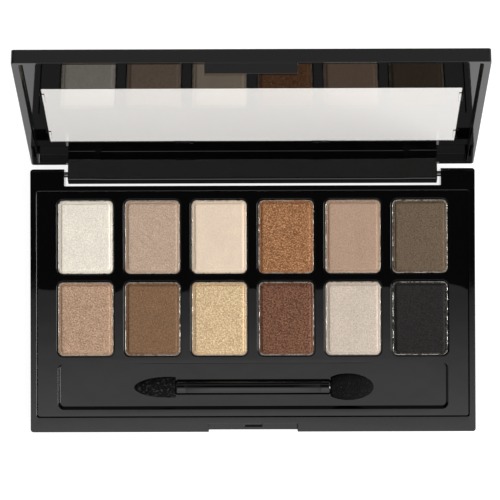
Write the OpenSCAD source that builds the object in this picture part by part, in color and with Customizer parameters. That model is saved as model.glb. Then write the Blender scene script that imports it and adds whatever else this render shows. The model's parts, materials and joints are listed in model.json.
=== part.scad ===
// Hinged powder palette: a moulded case with a windowed lid, a tray of
// pressed-powder pans and a double-ended sponge applicator.
// Origin: centre of the foot face. +X right, +Y to the hinge, +Z up. Millimetres.
// The lid is drawn closed and then turned open about the hinge axis.

/* [Case] */
// Width of the case, left to right
case_w = 120; // [118:0.5:126]
// Depth of the case, from its front to the back of the hinge ears
case_d = 71; // [71:0.5:75]
// Height of the base, from its foot to the parting line
base_h = 7.2; // [7:0.1:8]
// Thickness of the closed lid
lid_h = 3.7; // [3.6:0.1:4.5]
// Radius of the corners seen from above
corner_r = 0.8; // [0.5:0.1:1.5]
// Thickness of the base's floor
floor_t = 1.2; // [1:0.1:1.3]
// Width of the base's side rims
side_rim = 1.7; // [1.2:0.1:1.8]
// Width of the base's front rim, which holds the catch
front_rim = 4; // [3.6:0.1:4.2]
// Width of the base's rear rim
rear_rim = 1.4; // [1:0.1:1.6]

/* [Hinge] */
// Angle of the open lid, from closed
open_angle = 108.5; // [0:0.5:108.5]
// Distance from the hinge axis back to the rear of the case
axis_to_back = 1.4; // [1.3:0.1:1.5]
// Distance from the hinge axis forward to the base's rear wall
axis_to_wall = 3.2; // [3.1:0.1:3.4]
// Depth of the hinge axis below the parting line
axis_drop = 3.2; // [3.1:0.1:3.4]
// Width of each hinge ear
ear_w = 9.2; // [8:0.2:10]
// Side gap between an ear and the lid's hinge bar
bar_gap = 0.9; // [0.4:0.1:1]
// Diameter of the hinge pins
pin_d = 1.5; // [1.2:0.1:1.6]

/* [Pans] */
// Width of a pan
pan_w = 14.9; // [14:0.1:15.4]
// Depth of a pan, front to back
pan_d = 19.8; // [19:0.1:20.2]
// Height of a pan
pan_h = 3; // [2.5:0.1:3.1]
// Spacing of the pan columns
pan_pitch_x = 18.05; // [17.8:0.05:18.6]
// Spacing of the pan rows
pan_pitch_y = 22.1; // [22:0.1:22.6]
// Radius of a pan's corners
pan_r = 1.3; // [1:0.1:2]

/* [Window] */
// Width of the clear window in the lid
window_w = 108.4; // [104:0.2:110]
// Distance from the hinge axis forward to the window
window_start = 9.3; // [9:0.1:12]
// Length of the window, front to back
window_len = 37.4; // [34:0.2:40]

/* [Applicator] */
// Diameter of the applicator's handle
handle_d = 4.1; // [3.6:0.1:4.2]
// Length of the handle between the sponges
handle_len = 42; // [38:1:46]
// Length of the oval sponge tip
oval_len = 11.6; // [10:0.2:12]
// Width of the oval sponge tip
oval_w = 7.2; // [6:0.2:7.6]
// Length of the tapered sponge tip
taper_len = 11.2; // [10:0.2:12]
// Width of the tapered sponge tip
taper_w = 5.6; // [5:0.2:6]

/* [Hidden] */
$fn = 48;
COLUMNS = 6;
ROWS = 2;
PANS = COLUMNS * ROWS;

// Shades, left to right: the row by the hinge, then the row by the applicator.
SHADES = [
    "#e6dfd1", "#baa28e", "#e4cfb9", "#9a6d4b", "#b19580", "#6a5a4a",
    "#b1927a", "#7e6149", "#d6b892", "#734f3e", "#cfc0b2", "#2c2a2a"
];
BLACK = "#121213";

eps = 0.01;
back_y = case_d / 2;
front_y = -case_d / 2;
axis_y = back_y - axis_to_back;
axis_z = base_h - axis_drop;
wall_y = axis_y - axis_to_wall;
parting_gap = 0.15;
lid_rim_z = base_h + parting_gap;
lid_top_z = lid_rim_z + lid_h;
panel_t = 1.2;
panel_z = lid_top_z - panel_t;
notch_w = case_w - 2 * ear_w;

// Tray
tray_gap = 0.2;
tray_drop = 0.4;
tray_top = base_h - tray_drop;
tray_plate = 1.2;
cavity_w = case_w - 2 * side_rim;
cavity_front = front_y + front_rim;
cavity_back = wall_y - rear_rim;
tray_w = cavity_w - 2 * tray_gap;
tray_front = cavity_front + tray_gap;
tray_back = cavity_back - tray_gap;
tray_foot = floor_t + 0.05;
skirt_t = 1;

// Pans: the rear row's back edge lies this far in front of the tray's back edge
rear_border = 2.3;
first_row_y = tray_back - rear_border - pan_d / 2;
well_gap = 0.35;
well_r = pan_r + 0.5;
cup_wall = 0.9;
powder_drop = 0.05;
pan_rim_z = tray_top - powder_drop - 0.25;
pan_foot_z = pan_rim_z - pan_h;
pad_t = 0.1;
cup_floor_z = pan_foot_z - pad_t;
pan_wall = 0.25;

// Applicator well
well_w = (COLUMNS - 1) * pan_pitch_x + pan_w;
well_len = 12.4;
well_depth = 2.5;
well_back = first_row_y - pan_pitch_y - pan_d / 2 - 2.1;
well_y = well_back - well_len / 2;
well_floor_z = tray_top - well_depth;
applicator_y = well_y - 0.3;
applicator_z = well_floor_z + handle_d / 2 + 0.1;

// Lid
lid_side_wall = 1.9;
lid_front_wall = 1.2;
lid_rear_wall = 1.6;
bar_w = notch_w - 2 * bar_gap;
bar_end_w = 9;
bar_step_w = 1.6;
bar_bottom_z = axis_z - 2.4;
bar_end_face = 2.35;
bar_mid_face = 2.1;
bar_draft = 0.2;
window_front_y = axis_y - window_start - window_len;
rebate = 1;
pane_gap = 0.08;

// Catch
catch_w = 23.9;
catch_inset = 0.5;
catch_shelf = 2.9;
catch_wall_y = front_y + 2.25;
tab_w = catch_w - 0.6;
tab_t = 1.4;
tab_len = 2.75;
bump_w = 4.4;
slot_w = 4.7;
slot_t = 0.9;

// Hinge pin
pin_clear = 0.05;
pin_inner_x = bar_w / 2 - 6;
pin_outer_x = case_w / 2 - 0.25;

function pan_x(i) = ((i - 1) % COLUMNS - (COLUMNS - 1) / 2) * pan_pitch_x;
function pan_y(i) = first_row_y - floor((i - 1) / COLUMNS) * pan_pitch_y;

// Rectangle from low to high corner with rounded corners
module rounded_rect(low, high, r) {
    size = high - low;
    translate(low + [r, r]) square(size - [2 * r, 2 * r]);
    translate(low + [r, 0]) square([size.x - 2 * r, size.y]);
    translate(low + [0, r]) square([size.x, size.y - 2 * r]);
    for (x = [low.x + r, high.x - r], y = [low.y + r, high.y - r])
        translate([x, y]) circle(r);
}

module rounded_box(low, high, z0, z1, r) {
    translate([0, 0, z0]) linear_extrude(z1 - z0) rounded_rect(low, high, r);
}

// A profile drawn in the Y-Z plane and run along X
module along_x(x0, x1) {
    translate([x0, 0, 0]) rotate([90, 0, 90]) linear_extrude(x1 - x0) children();
}

module pin_bore(x0, x1) {
    translate([x0, axis_y, axis_z]) rotate([0, 90, 0])
        cylinder(r = pin_d / 2 + pin_clear, h = x1 - x0);
}

// What a round edge of radius r takes off the ear's top rear corner
module ear_rounding() {
    r = 0.9;
    along_x(-case_w, case_w) difference() {
        translate([back_y - r, base_h - r]) square(2 * r);
        translate([back_y - r, base_h - r]) circle(r);
    }
}

module base_shell() {
    half = case_w / 2;
    color(BLACK) {
        difference() {
            rounded_box([-half, front_y], [half, back_y], 0, base_h, corner_r);
            rounded_box([-cavity_w / 2, cavity_front], [cavity_w / 2, cavity_back],
                        floor_t, base_h + 1, 0.6);
            translate([-notch_w / 2, wall_y, -1])
                cube([notch_w, case_d, base_h + 2]);
            translate([-catch_w / 2, front_y - 1, -1])
                cube([catch_w, 1 + catch_inset, base_h + 2]);
            translate([-catch_w / 2, front_y, base_h - catch_shelf])
                cube([catch_w, catch_wall_y - front_y, catch_shelf + 1]);
            translate([-slot_w / 2, catch_wall_y - slot_t, floor_t])
                cube([slot_w, slot_t, base_h]);
            ear_rounding();
            pin_bore(notch_w / 2 - 1, half + 1);
            mirror([1, 0, 0]) pin_bore(notch_w / 2 - 1, half + 1);
        }
        // Ledge that the lid's bump passes under
        translate([-slot_w / 2, catch_wall_y - 0.2, base_h - 1.5])
            cube([slot_w, 0.2 + eps, 0.5]);
    }
}

module pan_opening(i, grow, z0, z1) {
    half = [pan_w / 2 + grow, pan_d / 2 + grow];
    centre = [pan_x(i), pan_y(i)];
    rounded_box(centre - half, centre + half, z0, z1, well_r + grow - well_gap);
}

module tray() {
    low = [-tray_w / 2, tray_front];
    high = [tray_w / 2, tray_back];
    well_low = [-well_w / 2, well_back - well_len];
    well_high = [well_w / 2, well_back];
    front_slope = [0.35, 0.7];
    back_slope = [0.35, 0.1];
    step = [skirt_t, skirt_t];
    color(BLACK) difference() {
        union() {
            rounded_box(low, high, tray_top - tray_plate, tray_top, 0.6);
            difference() {
                rounded_box(low, high, tray_foot, tray_top - eps, 0.6);
                rounded_box(low + step, high - step, tray_foot - 1, tray_top - tray_plate, 0.5);
            }
            for (i = [1:PANS])
                pan_opening(i, well_gap + cup_wall, cup_floor_z - cup_wall, tray_top - eps);
            rounded_box(well_low - step, well_high + step,
                        well_floor_z - 1, tray_top - eps, 1);
        }
        for (i = [1:PANS])
            pan_opening(i, well_gap, cup_floor_z, tray_top + 1);
        hull() {
            rounded_box(well_low, well_high, tray_top, tray_top + 1, 1.6, $fn = 32);
            rounded_box(well_low + front_slope, well_high - back_slope,
                        well_floor_z, tray_top, 1.2, $fn = 32);
        }
    }
}

// Round double-sided pads that hold the pans down
module adhesive_pads() {
    color("#d9d4c8") for (i = [1:PANS])
        translate([pan_x(i), pan_y(i), cup_floor_z]) cylinder(r = 5.5, h = pad_t);
}

module pan(i) {
    color("#b9b6b0") difference() {
        pan_opening(i, 0, pan_foot_z, pan_rim_z);
        pan_opening(i, -pan_wall, pan_foot_z + pan_wall, pan_rim_z + 1);
    }
}

// Powder cake: fills the pan and stands a little proud with a sloping edge
module shadow(i) {
    proud = 0.3;
    lip = 0.5;
    color(SHADES[i - 1]) {
        pan_opening(i, -pan_wall, pan_foot_z + pan_wall, pan_rim_z);
        hull() {
            pan_opening(i, -pan_wall, pan_rim_z - 0.1, pan_rim_z, $fn = 24);
            pan_opening(i, -pan_wall - lip, pan_rim_z, pan_rim_z + proud, $fn = 24);
        }
    }
}

// Section of the hinge bar whose front face is this far from the axis
module bar_profile(face) {
    front = axis_y - face;
    r = 0.6;
    rear_r = 0.8;
    top = panel_z + panel_t / 2;
    difference() {
        union() {
            translate([front, bar_bottom_z]) square([back_y - front, top - bar_bottom_z]);
            polygon([[front, bar_bottom_z + r], [front + r, bar_bottom_z + r],
                     [front + r, top], [front - bar_draft, top]]);
        }
        difference() {
            translate([front - 1, bar_bottom_z - 1]) square([r + 1, r + 1]);
            translate([front + r, bar_bottom_z + r]) circle(r, $fn = 32);
        }
        difference() {
            translate([back_y - rear_r, bar_bottom_z - 1]) square([rear_r + 1, rear_r + 1]);
            translate([back_y - rear_r, bar_bottom_z + rear_r]) circle(rear_r, $fn = 32);
        }
    }
}

module hinge_bar() {
    mid = bar_w / 2 - bar_end_w;
    along_x(-bar_w / 2, bar_w / 2) bar_profile(bar_mid_face);
    for (side = [0, 1]) mirror([side, 0, 0]) {
        along_x(mid, bar_w / 2) bar_profile((bar_mid_face + bar_end_face) / 2);
        along_x(mid + bar_step_w, bar_w / 2) bar_profile(bar_end_face);
    }
}

module as_opened() {
    translate([0, axis_y, axis_z]) rotate([-open_angle, 0, 0])
        translate([0, -axis_y, -axis_z]) children();
}

module lid_shell() {
    half = case_w / 2;
    inner = half - lid_side_wall;
    difference() {
        rounded_box([-half, front_y], [half, back_y], lid_rim_z, lid_top_z, corner_r);
        rounded_box([-inner, front_y + lid_front_wall], [inner, back_y - lid_rear_wall],
                    lid_rim_z - 1, panel_z, 0.6);
        // The bar stands in for the rear wall between the ears
        translate([1 - bar_w / 2, back_y - lid_rear_wall - 1, lid_rim_z - 1])
            cube([bar_w - 2, lid_rear_wall + 2, panel_z - lid_rim_z + 1]);
    }
}

module catch_tab() {
    outer = front_y + catch_inset;
    foot = lid_rim_z - tab_len;
    translate([-tab_w / 2, outer, foot])
        cube([tab_w, tab_t, panel_z + panel_t / 2 - foot]);
    translate([-bump_w / 2, outer, foot + 0.25])
        cube([bump_w, catch_wall_y - 0.25 - outer, 0.5]);
}

module lid_frame() {
    half = [window_w / 2, window_len / 2];
    centre = [0, window_front_y + window_len / 2];
    edge = [rebate, rebate];
    color(BLACK) as_opened() difference() {
        union() {
            lid_shell();
            hinge_bar();
            catch_tab();
        }
        rounded_box(centre - half, centre + half, panel_z - 1, lid_top_z + 1, 0.6);
        rounded_box(centre - half - edge, centre + half + edge,
                    panel_z + panel_t / 2, lid_top_z + 1, 0.8);
        pin_bore(pin_inner_x, bar_w / 2 + 1);
        mirror([1, 0, 0]) pin_bore(pin_inner_x, bar_w / 2 + 1);
    }
}

// Clear pane: its flange sits in the lid's rebate, and clips grip the inside
module lid_window() {
    half = [window_w / 2, window_len / 2] - [pane_gap, pane_gap];
    centre = [0, window_front_y + window_len / 2];
    edge = [rebate, rebate];
    back = centre.y + half.y;
    clip_w = 5;
    clip_reach = 0.6;
    clip_t = 0.3;
    color("#dfe6ea", 0.35) as_opened() {
        rounded_box(centre - half, centre + half,
                    panel_z, panel_z + panel_t / 2 + eps, 0.5);
        rounded_box(centre - half - edge, centre + half + edge,
                    panel_z + panel_t / 2, lid_top_z - 0.1, 0.7);
        for (x = [-18.4, 18.4])
            translate([x - clip_w / 2, back - clip_reach, panel_z - clip_t])
                cube([clip_w, 2 * clip_reach, clip_t]);
        for (side = [-1, 1], y = [centre.y - 13, centre.y + 13])
            translate([side * half.x - clip_reach, y - clip_w / 2, panel_z - clip_t])
                cube([2 * clip_reach, clip_w, clip_t]);
    }
}

module hinge_pin(side) {
    color("#c2c4c6") translate([side * (pin_inner_x + pin_outer_x) / 2, axis_y, axis_z])
        rotate([0, 90, 0])
            cylinder(r = pin_d / 2, h = pin_outer_x - pin_inner_x - 0.2, center = true);
}

module applicator_at(x) {
    translate([x, applicator_y, applicator_z]) rotate([0, 90, 0]) children();
}

// Handle with a flat tongue inside each sponge
module applicator_handle() {
    tongue = [1.2, 2.4, 6];
    color(BLACK) applicator_at(0) {
        cylinder(r = handle_d / 2, h = handle_len, center = true);
        for (side = [-1, 1]) translate([0, 0, side * (handle_len + tongue.z) / 2])
            cube(tongue + [0, 0, 2 * eps], center = true);
    }
}

module tongue_socket() {
    translate([0, 0, -eps]) translate([-0.6, -1.2, 0]) cube([1.2, 2.4, 6.1]);
}

// Sponge tips: a half outline turned round, then flattened
module sponge_oval() {
    thick = 4;
    color("#1a1a1b") applicator_at(handle_len / 2) difference() {
        resize([thick, oval_w, oval_len]) intersection() {
            translate([0, 0, 4.6]) scale([1, 1, 1.6]) sphere(r = 4.4, $fn = 36);
            translate([-8, -8, 0]) cube([16, 16, 20]);
        }
        tongue_socket();
    }
}

module sponge_tapered() {
    thick = 4;
    color("#1a1a1b") applicator_at(-handle_len / 2) mirror([0, 0, 1]) difference() {
        resize([thick, taper_w, taper_len]) intersection() {
            translate([0, 0, 2]) scale([1, 1, 2.6]) sphere(r = 3.6, $fn = 36);
            translate([-8, -8, 0]) cube([16, 16, 20]);
        }
        tongue_socket();
    }
}

base_shell();
tray();
adhesive_pads();
for (i = [1:PANS]) {
    pan(i);
    shadow(i);
}
lid_frame();
lid_window();
hinge_pin(-1);  // hinge_pin_left
hinge_pin(1);  // hinge_pin_right
applicator_handle();
sponge_oval();
sponge_tapered();
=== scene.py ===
"""Looks for the powder palette: rounded mouldings, pressed powders, clear pane, foam tips and studio."""
import json
import math

import bmesh
import bpy
from mathutils import Matrix, Quaternion, Vector, noise

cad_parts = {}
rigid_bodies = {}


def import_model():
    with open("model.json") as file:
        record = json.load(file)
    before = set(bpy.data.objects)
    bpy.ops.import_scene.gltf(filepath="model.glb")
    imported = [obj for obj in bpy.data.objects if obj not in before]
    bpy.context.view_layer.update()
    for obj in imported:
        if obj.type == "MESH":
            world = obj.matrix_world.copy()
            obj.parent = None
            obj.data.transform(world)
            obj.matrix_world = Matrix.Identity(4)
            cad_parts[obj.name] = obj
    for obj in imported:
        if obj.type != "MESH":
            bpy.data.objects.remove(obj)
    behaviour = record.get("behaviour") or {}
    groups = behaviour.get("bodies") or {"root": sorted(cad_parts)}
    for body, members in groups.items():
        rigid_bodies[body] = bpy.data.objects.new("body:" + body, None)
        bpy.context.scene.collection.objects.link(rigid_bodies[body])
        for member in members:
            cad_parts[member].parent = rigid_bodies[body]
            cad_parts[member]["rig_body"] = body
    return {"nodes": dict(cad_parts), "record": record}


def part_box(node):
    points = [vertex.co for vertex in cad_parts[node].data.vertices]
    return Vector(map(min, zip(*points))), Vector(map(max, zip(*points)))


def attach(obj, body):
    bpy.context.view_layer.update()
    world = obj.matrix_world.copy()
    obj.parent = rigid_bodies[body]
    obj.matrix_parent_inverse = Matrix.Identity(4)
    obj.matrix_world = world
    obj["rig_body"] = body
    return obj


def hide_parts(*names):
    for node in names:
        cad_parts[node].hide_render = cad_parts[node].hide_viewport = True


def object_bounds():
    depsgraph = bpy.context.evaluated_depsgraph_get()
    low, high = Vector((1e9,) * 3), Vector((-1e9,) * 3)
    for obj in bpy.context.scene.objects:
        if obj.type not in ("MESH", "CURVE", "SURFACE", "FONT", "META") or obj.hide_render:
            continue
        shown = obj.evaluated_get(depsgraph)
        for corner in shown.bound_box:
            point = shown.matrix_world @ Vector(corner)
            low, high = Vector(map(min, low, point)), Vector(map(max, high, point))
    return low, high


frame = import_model()
cad_box = [list(corner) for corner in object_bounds()]

MM = 0.001
COLUMNS = 6
PANS = 12
MATERIALS = {m["slot"]: m for m in frame["record"]["materials"]}
ACROSS = Vector((1, 0, 0))
ALONG = Vector((0, 1, 0))
UP = Vector((0, 0, 1))


# ---------------------------------------------------------------- node helpers
def new_material(name, **sockets):
    """A material whose Principled shader has these socket values. Socket names use _ for a space."""
    mat = bpy.data.materials.new(name)
    mat.use_nodes = True
    shader = mat.node_tree.nodes["Principled BSDF"]
    for key, value in sockets.items():
        shader.inputs[key.replace("_", " ")].default_value = value
    return mat, mat.node_tree, shader


def node(tree, kind, operation=None, **sockets):
    """A node whose inputs take a value, or a link when given another node's output.

    Inputs go by name, with _ for a space, or by number, as in _0.
    """
    made = tree.nodes.new(kind)
    if operation:
        made.operation = operation
    for key, value in sockets.items():
        socket = made.inputs[int(key[1:])] if key[1:].isdigit() else made.inputs[key.replace("_", " ")]
        if isinstance(value, bpy.types.NodeSocket):
            tree.links.new(value, socket)
        else:
            socket.default_value = value
    return made


def object_point(tree):
    return tree.nodes.new("ShaderNodeTexCoord").outputs["Object"]


def askew_point(tree):
    """Object coordinates turned off the noise's own lattice, so flat tops cut it evenly."""
    turned = node(tree, "ShaderNodeMapping", Vector=object_point(tree), Rotation=(0.62, 0.41, 0.33))
    return turned.outputs["Vector"]


def noise_at(tree, size_mm, detail, roughness=0.5, point=None):
    """Noise whose features are about size_mm across."""
    made = node(tree, "ShaderNodeTexNoise", Scale=1 / (size_mm * MM), Detail=detail, Roughness=roughness)
    tree.links.new(point or object_point(tree), made.inputs["Vector"])
    return made.outputs["Fac"]


def cells_at(tree, size_mm):
    """Voronoi cells about size_mm across."""
    return node(tree, "ShaderNodeTexVoronoi", Scale=1 / (size_mm * MM), Vector=object_point(tree))


def painted(tree, attribute):
    """A value stored on the mesh's points."""
    made = tree.nodes.new("ShaderNodeAttribute")
    made.attribute_name = attribute
    return made.outputs["Fac"]


def ranged(tree, value, source, target):
    """The value with the source range stretched over the target range, and held at its ends."""
    made = node(tree, "ShaderNodeMapRange", Value=value, From_Min=source[0], From_Max=source[1],
                To_Min=target[0], To_Max=target[1])
    return made.outputs["Result"]


def math_node(tree, operation, a, b):
    """The result of one Math node, such as MULTIPLY or MAXIMUM."""
    return node(tree, "ShaderNodeMath", operation, _0=a, _1=b).outputs["Value"]


def mixed(tree, factor, a, b, blend="MIX"):
    """Colour a where factor is 0, and b, or b blended over a, where it is 1."""
    made = tree.nodes.new("ShaderNodeMix")
    made.data_type = "RGBA"
    made.blend_type = blend
    factor_input, a_input, b_input = made.inputs[0], made.inputs[6], made.inputs[7]
    for socket, value in ((factor_input, factor), (a_input, a), (b_input, b)):
        if isinstance(value, bpy.types.NodeSocket):
            tree.links.new(value, socket)
        elif socket == factor_input:
            socket.default_value = value
        else:
            socket.default_value = (*value[:3], 1.0)
    return made.outputs[2]


def bumped(tree, shader, height, depth_mm, strength=1.0):
    """Bumps the shader's surface by a height of 0 to 1."""
    made = node(tree, "ShaderNodeBump", Strength=strength, Distance=depth_mm * MM, Height=height)
    tree.links.new(made.outputs["Normal"], shader.inputs["Normal"])


# ------------------------------------------------------------------- materials
def gloss_black(name, level, smudge, peel_mm, wave_mm=2.4):
    """High-gloss black moulding: faint mould flow, wiped smudges and a trace of orange peel.

    level is the plastic's mean colour, smudge its mean roughness, and peel_mm and wave_mm the
    depth and the size of the orange peel.
    """
    mat, tree, shader = new_material(name, IOR=1.5, Specular_IOR_Level=0.5)
    flow = noise_at(tree, 14.0, detail=3.0)
    thin = (level * 0.8, level * 0.8, level * 0.82)
    thick = (level * 1.25, level * 1.2, level * 1.15)
    tree.links.new(mixed(tree, flow, thin, thick), shader.inputs["Base Color"])
    wiped = noise_at(tree, 6.0, detail=5.0, roughness=0.62)
    rough = ranged(tree, wiped, (0.35, 0.75), (smudge * 0.45, smudge * 1.5))
    tree.links.new(rough, shader.inputs["Roughness"])
    bumped(tree, shader, noise_at(tree, wave_mm, detail=1.0), depth_mm=peel_mm, strength=0.35)
    return mat


def clear_plastic():
    """Clear pane with a breath of dust and a slow ripple from its moulding."""
    mat, tree, shader = new_material("clear_pane", Base_Color=(0.81, 0.79, 0.765, 1), IOR=1.22,
                                     Transmission_Weight=1.0)
    dust = noise_at(tree, 9.0, detail=6.0, roughness=0.7)
    tree.links.new(ranged(tree, dust, (0.45, 0.8), (0.0, 0.035)), shader.inputs["Roughness"])
    bumped(tree, shader, noise_at(tree, 16.0, detail=1.0), depth_mm=0.01, strength=0.08)
    return mat


def dusted_tin(number, powder_slot):
    """Tinplate pan whose rim is mostly filmed with its own powder, with bare bright streaks between."""
    mat, tree, shader = new_material("dusted_tin_%d" % number)
    grain = noise_at(tree, 0.5, detail=4.0, roughness=0.6)
    metal = mixed(tree, grain, (0.42, 0.39, 0.34), (0.80, 0.76, 0.68))
    film = [channel ** 1.15 * 0.8 for channel in MATERIALS[powder_slot]["base_color"]]
    streak = noise_at(tree, 1.6, detail=3.0, roughness=0.7)
    barest = 0.9
    bare = ranged(tree, streak, (0.44, 0.56), (0.05, barest))
    tree.links.new(mixed(tree, bare, film, metal), shader.inputs["Base Color"])
    tree.links.new(bare, shader.inputs["Metallic"])
    tree.links.new(ranged(tree, bare, (0.0, barest), (0.8, 0.24)), shader.inputs["Roughness"])
    bumped(tree, shader, grain, depth_mm=0.03, strength=0.6)
    return mat


def pin_steel():
    """Drawn wire, dark grey and dull."""
    mat, tree, shader = new_material("pin_steel", Metallic=1.0)
    grain = noise_at(tree, 0.3, detail=3.0)
    tree.links.new(mixed(tree, grain, (0.16, 0.16, 0.165), (0.30, 0.30, 0.305)), shader.inputs["Base Color"])
    tree.links.new(ranged(tree, grain, (0.3, 0.7), (0.2, 0.4)), shader.inputs["Roughness"])
    return mat


def paper_pad():
    """Fibrous double-sided pad."""
    mat, tree, shader = new_material("adhesive_paper", Roughness=0.8)
    fibre = noise_at(tree, 0.6, detail=5.0, roughness=0.7)
    tree.links.new(mixed(tree, fibre, (0.62, 0.60, 0.53), (0.74, 0.72, 0.66)), shader.inputs["Base Color"])
    bumped(tree, shader, fibre, depth_mm=0.02)
    return mat


# What each shade looks like besides its colour in the record: mottle is how far its grain varies
# in value, grain_mm the grain's size, shine how metallic its flakes are, and tone what the record's
# colour is multiplied by to come out right in this light.
FINISHES = {
    1: dict(mottle=0.10, grain_mm=0.30, shine=0.30, tone=(1.04, 1.03, 1.04)),
    2: dict(mottle=0.16, grain_mm=0.26, shine=0.12, tone=(0.95, 0.95, 0.96)),
    3: dict(mottle=0.04, grain_mm=0.32, shine=0.0, tone=(0.91, 0.92, 0.93)),
    4: dict(mottle=0.42, grain_mm=0.30, shine=0.55, tone=(1.17, 1.17, 1.15)),
    5: dict(mottle=0.11, grain_mm=0.26, shine=0.05, tone=(0.90, 0.90, 0.90)),
    6: dict(mottle=0.20, grain_mm=0.26, shine=0.04, tone=(0.85, 0.85, 0.84)),
    7: dict(mottle=0.24, grain_mm=0.27, shine=0.30, tone=(1.11, 1.11, 1.11)),
    8: dict(mottle=0.19, grain_mm=0.26, shine=0.03, tone=(0.90, 0.88, 0.85)),
    9: dict(mottle=0.22, grain_mm=0.29, shine=0.45, tone=(1.32, 1.20, 1.21)),
    10: dict(mottle=0.50, grain_mm=0.27, shine=0.40, tone=(0.87, 0.83, 0.77)),
    11: dict(mottle=0.12, grain_mm=0.27, shine=0.15, tone=(0.91, 0.92, 0.92)),
    12: dict(mottle=0.25, grain_mm=0.29, shine=0.0, tone=(0.59, 0.59, 0.57)),
}


def grain_colour(tree, finish, base, grain, cloud):
    """Dark and light grains of the pigment, in a few broad and very faint clouds."""
    swing = finish["mottle"] * 4.7
    pigment = [channel * share for channel, share in zip(base, finish["tone"])]
    dark_share = 1 - min(0.55, swing * 0.5)
    light_share = 1 + swing * 0.4
    dark = [channel ** (1 + swing * 0.1) * dark_share for channel in pigment]
    light = [min(0.97, channel ** (1 - swing * 0.06) * light_share) for channel in pigment]
    sparse = finish["shine"] * 0.2
    lightness = ranged(tree, grain, (0.32 + sparse, 0.68 + sparse / 2), (0.0, 1.0))
    fine = mixed(tree, lightness, dark, light)
    clouding = ranged(tree, cloud, (0.3, 0.7), (0.0, 1.0))
    broad = mixed(tree, clouding, (0.96, 0.955, 0.95), (1.04, 1.03, 1.02))
    return mixed(tree, 1.0, fine, broad, "MULTIPLY")


def with_painted_edge_shade(tree, colour, base, cloud):
    """The same colour with painted shade, in patches: darker and deeper in the groove and down the rolled
    edge, most along the left and rear edges, which face away from the light.
    """
    # Painted shade: the colour that the groove and the shaded edges are darkened toward
    painted_shade_colour = [channel ** 1.6 * 0.85 for channel in base]
    patchy = ranged(tree, cloud, (0.3, 0.7), (0.35, 0.9))
    return mixed(tree, math_node(tree, "MULTIPLY", painted(tree, "edge"), patchy), colour, painted_shade_colour)


def with_crumbs(tree, colour, base):
    """The same colour, with pale flecks where loose powder lies."""
    pale = [0.05 + 0.85 * channel ** 0.75 for channel in base]
    fleck = ranged(tree, noise_at(tree, 0.55, detail=3.0, roughness=0.6), (0.50, 0.58), (0.0, 0.9))
    return mixed(tree, math_node(tree, "MULTIPLY", painted(tree, "crumbs"), fleck), colour, pale)


def powder(number, slot):
    """Pressed powder: mottled pigment, pressed grain, pearl flakes, painted shade along the edge and loose
    crumbs.
    """
    finish = FINISHES[number]
    base = MATERIALS[slot]["base_color"][:3]
    mat, tree, shader = new_material("powder_look_%d" % number, Specular_IOR_Level=0.1)
    grain = noise_at(tree, finish["grain_mm"], detail=3.0, roughness=0.65, point=askew_point(tree))
    cloud = noise_at(tree, 5.0, detail=3.0, roughness=0.6)
    colour = grain_colour(tree, finish, base, grain, cloud)
    # Painted shade in the groove and on the left and rear edges
    colour = with_painted_edge_shade(tree, colour, base, cloud)
    colour = with_crumbs(tree, colour, base)
    tree.links.new(colour, shader.inputs["Base Color"])
    flakes = cells_at(tree, 0.22).outputs["Color"]
    flake = node(tree, "ShaderNodeSeparateColor", Color=flakes).outputs["Red"]
    if finish["shine"]:
        metallic = ranged(tree, flake, (0.62, 0.95), (0.0, finish["shine"]))
        tree.links.new(metallic, shader.inputs["Metallic"])
    tree.links.new(ranged(tree, flake, (0.0, 1.0), (0.85, 0.45)), shader.inputs["Roughness"])
    bumped(tree, shader, grain, depth_mm=0.05, strength=0.5)
    return mat


def foam(name, pore_mm, shed):
    """Open-cell foam: painted shade in the pores, which are darker than the slightly paler struts, and
    specks of shed powder.
    """
    mat, tree, shader = new_material(name, Specular_IOR_Level=0.06)
    from_pore = cells_at(tree, pore_mm).outputs["Distance"]
    strut = ranged(tree, from_pore, (0.1, 0.75), (0.0, 1.0))
    # Painted shade: the pores are darker than the struts
    colour = mixed(tree, strut, (0.001, 0.001, 0.001), (0.0075, 0.007, 0.007))
    speck = ranged(tree, noise_at(tree, pore_mm * 1.4, detail=4.0, roughness=0.7), (0.56, 0.66), (0.0, shed))
    tree.links.new(mixed(tree, speck, colour, (0.06, 0.056, 0.052)), shader.inputs["Base Color"])
    tree.links.new(ranged(tree, strut, (0.0, 1.0), (0.95, 0.75)), shader.inputs["Roughness"])
    bumped(tree, shader, from_pore, depth_mm=0.12, strength=0.9)
    return mat


CASE = gloss_black("case_gloss", level=0.0009, smudge=0.04, peel_mm=0.006)
TRAY = gloss_black("tray_gloss", level=0.0010, smudge=0.012, peel_mm=0.02, wave_mm=7.0)
HANDLE = gloss_black("handle_gloss", level=0.0009, smudge=0.06, peel_mm=0.012)
PANE = clear_plastic()
STEEL = pin_steel()
PAPER = paper_pad()


# ------------------------------------------------------------ rounded CAD parts
SHARP_ANGLE = math.radians(32)
FLAT_ANGLE = math.radians(0.5)


def middle(like):
    """The centre of a CAD node's box."""
    low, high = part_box(like)
    return (low + high) / 2


def add_piece(name, bm, material, like):
    """Turns bm into a piece that rides with the CAD node like, takes the given material and hides that node.
    """
    mesh = bpy.data.meshes.new(name)
    bm.to_mesh(mesh)
    bm.free()
    mesh.polygons.foreach_set("use_smooth", [True] * len(mesh.polygons))
    mesh.materials.append(material)
    piece = bpy.data.objects.new(name, mesh)
    bpy.context.scene.collection.objects.link(piece)
    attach(piece, frame["nodes"][like]["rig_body"])
    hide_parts(like)
    return piece


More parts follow.
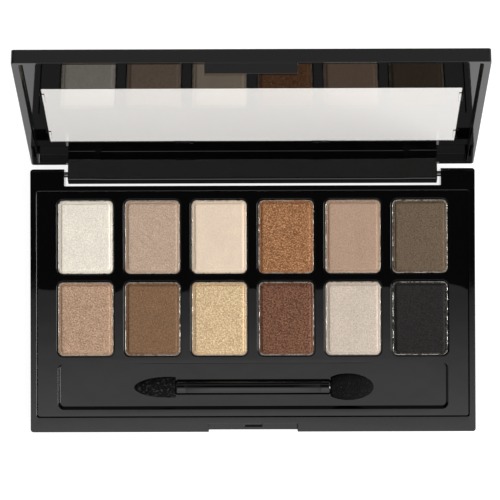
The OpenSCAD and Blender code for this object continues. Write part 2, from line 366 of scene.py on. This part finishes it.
def join_flat_faces(bm, cuts):
    """Merges doubled points and joins the triangles of each flat face, but not across the cuts.

    Each cut is a point and a normal. It runs through a face's openings, so that no face is
    left with a hole in it.
    """
    bmesh.ops.remove_doubles(bm, verts=bm.verts, dist=0.002 * MM)
    for point, normal in cuts:
        whole = bm.verts[:] + bm.edges[:] + bm.faces[:]
        split = bmesh.ops.bisect_plane(bm, geom=whole, dist=0.0001 * MM, plane_co=point, plane_no=normal)
        for part in split["geom_cut"]:
            if isinstance(part, bmesh.types.BMEdge):
                part.seam = True
    bmesh.ops.dissolve_limit(bm, angle_limit=FLAT_ANGLE, verts=bm.verts, edges=bm.edges, delimit={"SEAM"})


def mark_corners(bm, crisp):
    """Weights the sharp edges for rounding. Those in the crisp range stay sharp, and are shaded so."""
    weight = bm.edges.layers.float.new("bevel_weight_edge")
    for edge in bm.edges:
        fine = crisp and all(crisp[0] * MM < abs(vert.co.x) < crisp[1] * MM for vert in edge.verts)
        is_corner = edge.calc_face_angle(0.0) > SHARP_ANGLE
        edge[weight] = float(is_corner and not fine)
        edge.smooth = not (is_corner and fine)


def rounded_copy(name, like, material, radius_mm, cuts=(), crisp=None):
    """The CAD node with every sharp edge rounded, as a moulding or a pressed tin has them.

    crisp gives a range of distance from the middle, left or right, in mm, where the edges are
    too close together to round.
    """
    bm = bmesh.new()
    bm.from_mesh(frame["nodes"][like].data)
    join_flat_faces(bm, cuts)
    mark_corners(bm, crisp)
    piece = add_piece(name, bm, material, like)
    bevel = piece.modifiers.new("rounding", "BEVEL")
    bevel.width = radius_mm * MM
    bevel.segments = 3
    bevel.limit_method = "WEIGHT"
    bevel.use_clamp_overlap = False
    weighted = piece.modifiers.new("flat faces stay flat", "WEIGHTED_NORMAL")
    weighted.mode = "FACE_AREA"
    weighted.weight = 100
    weighted.keep_sharp = True


def mouldings():
    """The case, the tray and the lid, with cuts through the openings in their flat faces."""
    rounded_copy("case_moulding", "base_shell", CASE, radius_mm=0.12,
                 cuts=[(middle("tray"), ACROSS), (middle("tray"), ALONG)])
    tray_cuts = [(middle("pan_%d" % column), ACROSS) for column in range(1, COLUMNS + 1)]
    tray_cuts += [(middle(like), ALONG) for like in ("pan_1", "pan_%d" % PANS, "applicator_handle")]
    rounded_copy("tray_moulding", "tray", TRAY, radius_mm=0.09, cuts=tray_cuts)
    # The fine steps at the ends of the hinge bar stay crisp
    rounded_copy("lid_moulding", "lid_frame", CASE, radius_mm=0.12,
                 cuts=[(middle("lid_window"), ACROSS), (middle("lid_window"), UP)], crisp=(40.5, 43.0))


def small_parts():
    """The pane, the hinge pins and the pads under the pans."""
    rounded_copy("clear_window", "lid_window", PANE, radius_mm=0.06)
    for pin in ("hinge_pin_left", "hinge_pin_right"):
        rounded_copy(pin + "_turned", pin, STEEL, radius_mm=0.12)
    rounded_copy("glue_pads", "adhesive_pads", PAPER, radius_mm=0.02)


# ---------------------------------------------------------------- powder cakes
CAKE_CORNER = 1.3 * MM
# Faces across and along the top
CAKE_GRID = (52, 68)
# How much of a quarter turn of the sine the grid runs over: more of it crowds the edges more
EDGE_CROWDING = math.pi / 2 * 0.86
# Distance between the cakes in the noise, so that no two are alike
NOISE_APART = 50 * MM


def beyond_corner(x, y, half):
    """How far a point lies past the centre of the nearest round corner, along X and Y."""
    return abs(x) - half.x + CAKE_CORNER, abs(y) - half.y + CAKE_CORNER


def inset_at(x, y, half):
    """Distance in from the edge of the rounded rectangle, in mm."""
    past_x, past_y = beyond_corner(x, y, half)
    outside = math.hypot(max(past_x, 0.0), max(past_y, 0.0)) + min(max(past_x, past_y), 0.0)
    return max(0.0, (CAKE_CORNER - outside) / MM)


def crowded(step, steps):
    """From -1 to 1 as step goes from 0 to steps, with the steps closer together near both ends."""
    return math.sin((2 * step / steps - 1) * EDGE_CROWDING) / math.sin(EDGE_CROWDING)


def on_rounded(u, v, half):
    """A grid point, u and v from -1 to 1, moved so that the grid's corners follow the round corners."""
    x, y = u * half.x, v * half.y
    past_x, past_y = beyond_corner(x, y, half)
    if past_x > 0 and past_y > 0:
        pull = max(past_x, past_y) / math.hypot(past_x, past_y)
        x = math.copysign(half.x - CAKE_CORNER + past_x * pull, x)
        y = math.copysign(half.y - CAKE_CORNER + past_y * pull, y)
    return x, y


def cake_surface(spot, inset, proud):
    """Height over the tin's rim, the share of the way up the rolled edge, and the groove's inset.

    spot is the place in mm, inset its distance in from the tin in mm, and proud how far the CAD
    cake stands over the rim.
    """
    groove_in = 0.46 + 0.10 * noise.noise(spot * 0.7)
    roll_mm = 0.55 + 0.15 * noise.noise(spot * 0.9)
    share = min(1.0, max(0.0, (inset - groove_in) / roll_mm))
    risen = proud * 0.93 * (1 - (1 - share) ** 2)
    spilled = math.sin(math.pi * min(1.0, inset / groove_in)) * (0.6 + 0.9 * noise.noise(spot * 2.3))
    uneven = 0.012 * noise.noise(spot * 0.35) + 0.006 * noise.noise(spot * 2.1)
    height = risen + (uneven * share + 0.16 * max(0.0, spilled)) * MM
    return height, share, groove_in


def edge_shade_share(x, y, half, inset, share, groove_in):
    """How much painted shade the colour takes: most in the groove, and more along the left and rear edges,
    which face away from the light.
    """
    # Painted shade: more on the left and rear, away from the light on the right
    away_from_light = min(1.0, max(0.1, -x / half.x, y / half.y))
    groove_shade = math.exp(-((inset - groove_in) / 0.16) ** 2)
    return max(groove_shade * (0.45 + 0.55 * away_from_light), (1 - share) * away_from_light * 0.7)


def cake_top(bm, number, low, high, rim_z):
    """Rows of points over the cake's top, each with its share of painted edge shade and its share of loose
    crumbs.
    """
    # The edge attribute holds painted shade
    edge = bm.verts.layers.float.new("edge")
    crumbs = bm.verts.layers.float.new("crumbs")
    centre = (low + high) / 2
    clearance = Vector((0.01, 0.01, 0.0)) * MM
    half = (high - low) / 2 - clearance
    across, along = CAKE_GRID
    rows = []
    for r in range(along + 1):
        row = []
        for c in range(across + 1):
            x, y = on_rounded(crowded(c, across), crowded(r, along), half)
            inset = inset_at(x, y, half)
            spot = Vector((x, y, number * NOISE_APART)) / MM
            height, share, groove_in = cake_surface(spot, inset, high.z - rim_z)
            vert = bm.verts.new((centre.x + x, centre.y + y, min(rim_z + height, high.z)))
            vert[edge] = edge_shade_share(x, y, half, inset, share, groove_in)
            vert[crumbs] = max(0.0, 1.0 - inset / groove_in)
            row.append(vert)
        rows.append(row)
    return rows


def close_cake(bm, rows, foot_z):
    """Faces over the grid, round the sides and over the foot."""
    for near, far in zip(rows, rows[1:]):
        for c in range(len(near) - 1):
            bm.faces.new((near[c], near[c + 1], far[c + 1], far[c]))
    front, right = rows[0][:-1], [row[-1] for row in rows[:-1]]
    back, left = rows[-1][:0:-1], [row[0] for row in rows[:0:-1]]
    rim = front + right + back + left
    foot = [bm.verts.new((vert.co.x, vert.co.y, foot_z)) for vert in rim]
    for k, vert in enumerate(rim):
        following = (k + 1) % len(rim)
        bm.faces.new((rim[following], vert, foot[k], foot[following]))
    bm.faces.new(foot[::-1])
    bmesh.ops.recalc_face_normals(bm, faces=bm.faces)


def powder_cake(number, slot):
    """A pressed cake: spilled crumbs along the tin, a groove, a rolled edge and a top never quite even."""
    like = "shadow_%d" % number
    low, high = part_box(like)
    rim_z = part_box("pan_%d" % number)[1].z
    bm = bmesh.new()
    close_cake(bm, cake_top(bm, number, low, high, rim_z), low.z)
    add_piece("powder_%d" % number, bm, powder(number, slot), like)


def filled_pans():
    """Each tin with its cake. The record lists the powders' slots in the order of the pans."""
    powder_slots = [slot for slot in MATERIALS if slot.startswith("powder_")]
    for number, slot in zip(range(1, PANS + 1), powder_slots):
        tin = dusted_tin(number, slot)
        rounded_copy("tin_%d" % number, "pan_%d" % number, tin, radius_mm=0.11)
        powder_cake(number, slot)


# ------------------------------------------------------------------ applicator
def turned_along_x(profile, centre, around, squash=1.0, wobble=None):
    """A body turned about the X axis.

    profile is a list of (x, radius), squash the body's height over its width, and wobble a
    function that moves each point.
    """
    bm = bmesh.new()
    rings = []
    for x, radius in profile:
        ring = []
        for k in range(around):
            angle = 2 * math.pi * k / around
            point = Vector((x, radius * math.cos(angle), radius * squash * math.sin(angle)))
            if wobble:
                point = wobble(point, radius)
            ring.append(bm.verts.new(centre + point))
        rings.append(ring)
    for near, far in zip(rings, rings[1:]):
        for k in range(around):
            following = (k + 1) % around
            bm.faces.new((near[k], near[following], far[following], far[k]))
    bm.faces.new(rings[0][::-1])
    bm.faces.new(rings[-1])
    bmesh.ops.recalc_face_normals(bm, faces=bm.faces)
    return bm


def groove(x, radius):
    """A shallow round-bottomed groove turned into the rod at x."""
    width, depth, steps = 0.35 * MM, 0.05 * MM, 6
    return [(x - width / 2 + width * k / steps, radius - depth * math.sin(math.pi * k / steps))
            for k in range(steps + 1)]


def handle():
    """Rod with a round shoulder and a fine turned groove at each end."""
    low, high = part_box("applicator_handle")
    radius = (high.z - low.z) / 2
    # Half of the rod that shows between the sponges
    half = 21.0 * MM
    shoulder = 0.7 * MM
    groove_x = half - 3.0 * MM
    steps = 8
    left = []
    for k in range(steps, -1, -1):
        angle = math.pi / 2 * k / steps
        left.append((-half + shoulder * (1 - math.sin(angle)), radius - shoulder * (1 - math.cos(angle))))
    left += groove(-groove_x, radius)
    right = [(-x, ring_radius) for x, ring_radius in reversed(left)]
    bm = turned_along_x(left + right, (low + high) / 2, around=64)
    add_piece("applicator_rod", bm, HANDLE, "applicator_handle")


def egg_profile(length, half_w, widest_share, back_stretch):
    """Half outline of an egg, cut off at x = 0 and closed at x = length.

    It is widest at widest_share of its length. Toward the cut it follows an ellipse that is
    back_stretch times as long as the one toward the tip.
    """
    rings = 72
    widest = widest_share * length
    reach = length - widest
    profile = []
    for k in range(rings + 1):
        x = length * math.sin(k / rings * math.pi / 2)
        span = reach if x > widest else reach * back_stretch
        radius = half_w * math.sqrt(max(0.0, 1 - ((x - widest) / span) ** 2))
        profile.append((x, max(radius, 0.02 * MM)))
    return profile


def sponge(name, like, widest_share, back_stretch, pore_mm, shed, seed):
    """Flocked foam tip: part of an egg, flattened, with an uneven skin and open pores."""
    low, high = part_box(like)
    outward = 1 if middle(like).x > 0 else -1
    root_x = low.x if outward > 0 else high.x
    centre = Vector((root_x, middle(like).y, middle(like).z))
    half_w, half_t = (high.y - low.y) / 2, (high.z - low.z) / 2
    egg = egg_profile(high.x - low.x, half_w, widest_share, back_stretch)
    offset = Vector((seed * 3.7, seed, 0))

    def skin(point, radius):
        """Moves a point in from the smooth outline, by more where a pore opens."""
        spot = point / MM + offset
        pore = noise.cell(spot / pore_mm) - 0.5
        inset = 0.10 + 0.05 * noise.noise(spot * 0.8) + 0.05 * noise.noise(spot * 3.1) + 0.05 * pore
        keep = 1 - inset * MM / max(radius, 0.4 * MM)
        return Vector((point.x * 0.994, point.y * keep, point.z * keep))

    profile = [(outward * x, radius) for x, radius in egg]
    bm = turned_along_x(profile, centre, around=96, squash=half_t / half_w, wobble=skin)
    piece = add_piece(name, bm, foam(name + "_foam", pore_mm, shed), like)


mouldings()
small_parts()
filled_pans()
handle()
sponge("tip_oval", "sponge_oval", widest_share=0.40, back_stretch=0.98, pore_mm=0.32, shed=0.25, seed=1)
sponge("tip_tapered", "sponge_tapered", widest_share=0.18, back_stretch=0.9, pore_mm=0.5, shed=1.0, seed=2)


# ---------------------------------------------------------------------- studio
def floor():
    """A pale sheet, bright enough to burn out behind the palette."""
    bm = bmesh.new()
    bmesh.ops.create_grid(bm, x_segments=8, y_segments=8, size=4.0)
    mesh = bpy.data.meshes.new("floor")
    bm.to_mesh(mesh)
    bm.free()
    mat, _, _ = new_material("pale_floor", Roughness=0.9, Emission_Color=(1, 1, 1, 1),
                             Emission_Strength=0.88, Base_Color=(0.3, 0.3, 0.3, 1),
                             Specular_IOR_Level=0.0)
    mesh.materials.append(mat)
    plane = bpy.data.objects.new("floor", mesh)
    bpy.context.scene.collection.objects.link(plane)
    plane.location.z = cad_box[0][2] - 0.02 * MM


# How bright the studio is in each direction: the Y of the direction, from the front (-1) over the
# top (0) to the rear (1), and the level there.
SKY = [
    # The white front
    (-1.0, 1.2), (-0.67, 1.7), (-0.52, 1.7), (-0.3, 1.6), (-0.20, 1.6),
    # A dark gap overhead
    (-0.18, 0.03), (-0.10, 0.03),
    # The panel overhead, which fades toward its rear edge
    (-0.08, 1.5), (-0.045, 1.45), (-0.0045, 0.47), (0.012, 0.44), (0.02, 0.03),
    # The dark rear, with one dim panel, and a paler end
    (0.50, 0.03), (0.535, 0.30), (0.565, 0.50), (0.70, 0.50), (0.74, 0.04), (0.93, 0.04), (1.0, 0.9),
]
SKY_TOP = 2.0
# The panel's rear edge falls within the first range of Y. In the second, the ramp takes over again.
PANEL_EDGE = (0.0010, 0.0016)
RAMP_AGAIN = (0.04, 0.05)
BEHIND_PANEL = (0.015, 0.015, 0.015)
# The side walls, as shares of SKY_TOP, and where they begin and are full, in the direction's X
RIGHT_WALL = (0.32, 0.32, 0.32)
LEFT_WALL = (0.12, 0.12, 0.12)
WALL_START, WALL_FULL = 0.25, 0.6


def sky_ramp(tree, y):
    """SKY as a colour over y, as a share of SKY_TOP."""
    band = tree.nodes.new("ShaderNodeValToRGB")
    ramp = band.color_ramp.elements
    while len(ramp) < len(SKY):
        ramp.new(0.5)
    for element, (place, level) in zip(ramp, SKY):
        share = level / SKY_TOP
        element.position = (place + 1) / 2
        element.color = (share, share, share, 1)
    tree.links.new(ranged(tree, y, (-1.0, 1.0), (0.0, 1.0)), band.inputs["Fac"])
    return band.outputs["Color"]


def studio_world():
    """A studio that is white in front and dark behind, with a panel overhead and grey side walls."""
    world = bpy.data.worlds.new("studio")
    bpy.context.scene.world = world
    world.use_nodes = True
    tree = world.node_tree
    direction = tree.nodes.new("ShaderNodeTexCoord").outputs["Generated"]
    parts = node(tree, "ShaderNodeSeparateXYZ", Vector=direction)
    x, y = parts.outputs["X"], parts.outputs["Y"]
    # The ramp is too coarse for the panel's sharp edge, so a mask cuts it
    before_edge = ranged(tree, y, PANEL_EDGE, (1.0, 0.0))
    well_past_edge = ranged(tree, y, RAMP_AGAIN, (0.0, 1.0))
    from_ramp = math_node(tree, "MAXIMUM", before_edge, well_past_edge)
    colour = mixed(tree, from_ramp, BEHIND_PANEL, sky_ramp(tree, y))
    colour = mixed(tree, ranged(tree, x, (WALL_START, WALL_FULL), (0.0, 1.0)), colour, RIGHT_WALL)
    colour = mixed(tree, ranged(tree, x, (-WALL_START, -WALL_FULL), (0.0, 1.0)), colour, LEFT_WALL)
    background = tree.nodes["Background"]
    tree.links.new(colour, background.inputs["Color"])
    background.inputs["Strength"].default_value = SKY_TOP


def softbox(name, place, size, watts):
    """A rectangular light that points at the origin."""
    light = bpy.data.lights.new(name, type="AREA")
    light.shape = "RECTANGLE"
    light.size, light.size_y = size
    light.energy = watts
    lamp = bpy.data.objects.new(name, light)
    bpy.context.scene.collection.objects.link(lamp)
    lamp.location = place
    lamp.rotation_euler = (-Vector(place)).to_track_quat("-Z", "Y").to_euler()


def camera():
    """Almost straight overhead, far enough back that the verticals hardly spread."""
    data = bpy.data.cameras.new("camera")
    data.lens = 214.5
    data.sensor_width = 36.0
    data.shift_x = -0.0053
    data.shift_y = 0.0008
    data.clip_start, data.clip_end = 0.05, 20.0
    cam = bpy.data.objects.new("camera", data)
    bpy.context.scene.collection.objects.link(cam)
    bpy.context.scene.camera = cam
    target = Vector((0.0, 13.4, 7.2)) * MM
    aside = 3.1 * MM
    distance = 803.6 * MM
    tilt = math.radians(0.83)
    roll = math.radians(-0.185)
    cam.location = target + Vector((aside, -math.sin(tilt) * distance, math.cos(tilt) * distance))
    backward = (cam.location - target).normalized()
    upward = backward.cross(ACROSS).normalized()
    aim = Matrix((upward.cross(backward), upward, backward)).transposed().to_quaternion()
    cam.rotation_mode = "QUATERNION"
    cam.rotation_quaternion = aim @ Quaternion(UP, roll)


floor()
studio_world()
softbox("key_right", place=(1.30, -0.15, 0.74), size=(0.50, 0.80), watts=26.4)
camera()
view = bpy.context.scene.view_settings
view.view_transform = "Standard"
view.look = "None"
